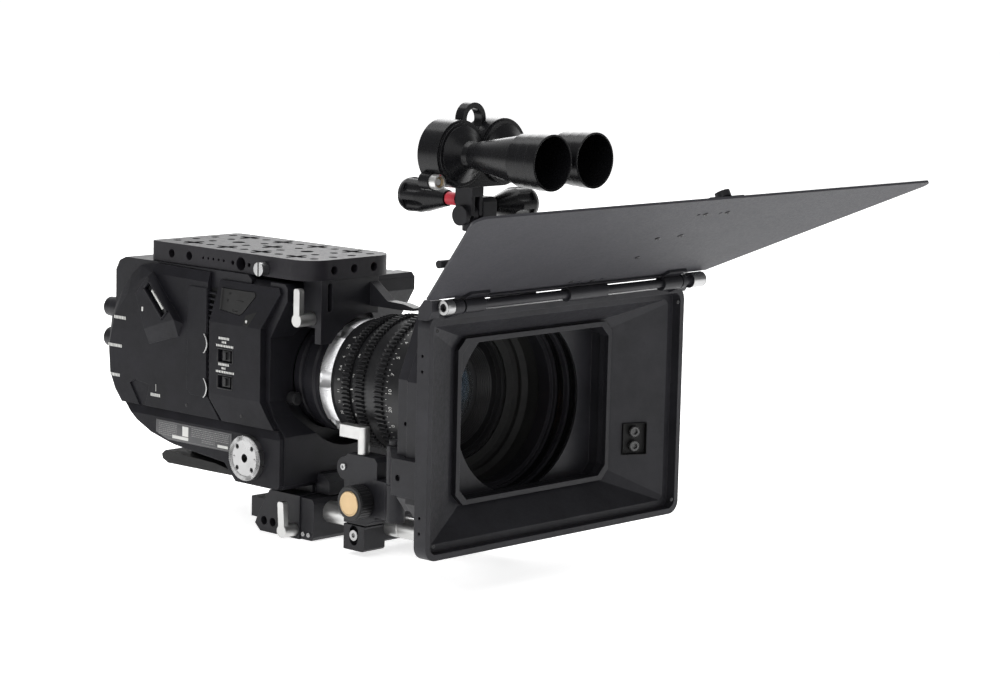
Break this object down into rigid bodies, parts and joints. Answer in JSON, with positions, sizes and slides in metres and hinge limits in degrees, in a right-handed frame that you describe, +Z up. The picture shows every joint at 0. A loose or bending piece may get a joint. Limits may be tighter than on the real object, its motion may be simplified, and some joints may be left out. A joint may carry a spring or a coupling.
{
  "type": "cinema camera rig",
  "caption": "Cinema camera on a rod base with a geared lens, a drilled top plate, a swing-away matte box with a raised flag, and a two-horn distance finder.",
  "frame": {"origin": "mouth of the larger tripod socket, in the middle of the rod base's underside", "axes": "+Z up; the lens looks along -Y; +X is on the camera's own left"},
  "size_m": [0.4442, 0.5368, 0.3102],
  "materials": {
    "body_paint": "satin black paint",
    "panel": "fine textured black paint",
    "anodised": "black anodised, satin",
    "plate": "black anodised, satin",
    "silver": "brushed",
    "ring_metal": "satin chrome",
    "lens_black": "satin black",
    "glass": "coated optical glass",
    "rubber": "matte",
    "plastic": "matte black",
    "flag_carbon": "matte black",
    "board": "solder mask",
    "cell": "label wrap, plain"
  },
  "bodies": {
    "camera": {"front_casting": "body_paint", "body_shell": "body_paint", "audio_panel": "panel", "rear_cover": "panel", "lower_cover": "panel", "left_cover": "panel", "foot_pad": "rubber", "rosette": "silver", "bnc_connectors": "silver", "mount_adapter": "body_paint", "sensor_module": "board", "main_board": "board", "fan_frame": "plastic", "battery_pack": "cell", "top_plate": "plate", "riser_bracket": "anodised", "base_block": "anodised", "rod_block": "anodised", "riser_plate": "anodised", "rods": "silver", "lens_barrel": "lens_black", "lens_glass": "glass", "base_screws": "silver"},
    "port_door": {"port_door": "rubber"},
    "input_switch_1": {"input_switch_1": "plastic"},
    "input_switch_2": {"input_switch_2": "plastic"},
    "release_button": {"release_button": "plastic"},
    "fan_rotor": {"fan_rotor": "plastic"},
    "locking_ring": {"locking_ring": "ring_metal"},
    "iris_ring": {"iris_ring": "lens_black"},
    "zoom_ring": {"zoom_ring": "lens_black"},
    "focus_ring": {"focus_ring": "lens_black"},
    "plate_screw": {"plate_screw": "silver"},
    "riser_lever": {"riser_lever": "silver"},
    "base_lever": {"base_lever": "silver"},
    "height_knob": {"height_knob": "plastic"},
    "hinge_lever": {"hinge_lever": "silver"},
    "rf_foot": {"rf_foot": "anodised"},
    "rf_knob_left": {"rf_knob_left": "plastic"},
    "rf_knob_right": {"rf_knob_right": "plastic"},
    "clamp": {"rod_clamp": "anodised", "clamp_screw": "silver"},
    "upright": {"upright_block": "anodised", "hinge_pin": "silver"},
    "matte_box": {"stage_frame": "anodised", "swing_arm": "anodised", "donut_ring": "rubber", "hood": "anodised", "inner_frame": "anodised", "hinge_rod": "silver", "rf_post": "anodised"},
    "tray_front": {"filter_tray_front": "plastic"},
    "tray_rear": {"filter_tray_rear": "plastic"},
    "flag": {"flag_hinge": "anodised", "flag_sheet": "flag_carbon"},
    "rangefinder": {"rf_bracket": "anodised", "rf_housing": "plastic", "rf_horns": "plastic", "rf_loop": "plastic", "rf_connector": "silver"}
  },
  "joints": [
    {"name": "port_door_hinge", "type": "hinge", "parent": "camera", "child": "port_door", "pos_m": [-0.06583, 0.0466, 0.16507], "axis": [-0.1322, 0, -0.9912], "range_deg": [0, 100]},
    {"name": "input_switch_1_slide", "type": "slide", "parent": "camera", "child": "input_switch_1", "axis": [0, 1, 0], "range_m": [-0.0028, 0.0028]},
    {"name": "input_switch_2_slide", "type": "slide", "parent": "camera", "child": "input_switch_2", "axis": [0, 1, 0], "range_m": [-0.0028, 0.0028]},
    {"name": "release_button_press", "type": "slide", "parent": "camera", "child": "release_button", "axis": [0, 1, 0], "range_m": [0, 0.0015], "stiffness_N_per_m": 400},
    {"name": "fan_spin", "type": "hinge", "parent": "camera", "child": "fan_rotor", "pos_m": [0.048, 0.062, 0.118], "axis": [1, 0, 0], "continuous": true},
    {"name": "locking_ring_turn", "type": "hinge", "parent": "camera", "child": "locking_ring", "pos_m": [0, -0.034, 0.1125], "axis": [0, -1, 0], "range_deg": [0, 60]},
    {"name": "iris_turn", "type": "hinge", "parent": "camera", "child": "iris_ring", "pos_m": [0, -0.059, 0.1125], "axis": [0, -1, 0], "range_deg": [0, 80]},
    {"name": "zoom_turn", "type": "hinge", "parent": "camera", "child": "zoom_ring", "pos_m": [0, -0.0745, 0.1125], "axis": [0, -1, 0], "range_deg": [-60, 60]},
    {"name": "focus_turn", "type": "hinge", "parent": "camera", "child": "focus_ring", "pos_m": [0, -0.106, 0.1125], "axis": [0, -1, 0], "range_deg": [-150, 130]},
    {"name": "plate_screw_turn", "type": "hinge", "parent": "camera", "child": "plate_screw", "pos_m": [-0.06, 0.0085, 0.1895], "axis": [1, 0, 0], "continuous": true},
    {"name": "riser_lever_turn", "type": "hinge", "parent": "camera", "child": "riser_lever", "pos_m": [-0.05, -0.026, 0.157], "axis": [1, 0, 0], "range_deg": [-8, 70]},
    {"name": "base_lever_turn", "type": "hinge", "parent": "camera", "child": "base_lever", "pos_m": [-0.05, -0.011, 0.0065], "axis": [1, 0, 0], "range_deg": [-80, 85]},
    {"name": "clamp_slide", "type": "slide", "parent": "camera", "child": "clamp", "axis": [0, -1, 0], "range_m": [0, 0.045]},
    {"name": "height_slide", "type": "slide", "parent": "clamp", "child": "upright", "axis": [0, 0, 1], "range_m": [0, 0.006]},
    {"name": "height_knob_turn", "type": "hinge", "parent": "upright", "child": "height_knob", "pos_m": [-0.064, -0.09, 0.04], "axis": [1, 0, 0], "continuous": true},
    {"name": "hinge_lever_turn", "type": "hinge", "parent": "upright", "child": "hinge_lever", "pos_m": [-0.053, -0.085, 0.086], "axis": [0, 0, 1], "range_deg": [0, 120]},
    {"name": "swing_away", "type": "hinge", "parent": "upright", "child": "matte_box", "pos_m": [-0.058, -0.1215, 0.06], "axis": [0, 0, -1], "range_deg": [0, 95]},
    {"name": "tray_front_slide", "type": "slide", "parent": "matte_box", "child": "tray_front", "axis": [1, 0, 0], "range_m": [0, 0.14]},
    {"name": "tray_rear_slide", "type": "slide", "parent": "matte_box", "child": "tray_rear", "axis": [1, 0, 0], "range_m": [0, 0.14]},
    {"name": "flag_hinge_turn", "type": "hinge", "parent": "matte_box", "child": "flag", "pos_m": [0, -0.225, 0.192], "axis": [1, 0, 0], "range_deg": [-40, 115]},
    {"name": "rangefinder_pan", "type": "hinge", "parent": "matte_box", "child": "rf_foot", "pos_m": [0.016, -0.1195, 0.226], "axis": [0, 0, 1], "range_deg": [-90, 90]},
    {"name": "rangefinder_tilt", "type": "hinge", "parent": "rf_foot", "child": "rangefinder", "pos_m": [0.016, -0.1195, 0.234], "axis": [1, 0, 0], "range_deg": [-30, 30]},
    {"name": "rangefinder_left_knob_turn", "type": "hinge", "parent": "rangefinder", "child": "rf_knob_left", "pos_m": [0.008, -0.09, 0.244], "axis": [0, 1, 0], "continuous": true},
    {"name": "rangefinder_right_knob_turn", "type": "hinge", "parent": "rf_foot", "child": "rf_knob_right", "pos_m": [0.045, -0.1195, 0.239], "axis": [1, 0, 0], "continuous": true}
  ]
}
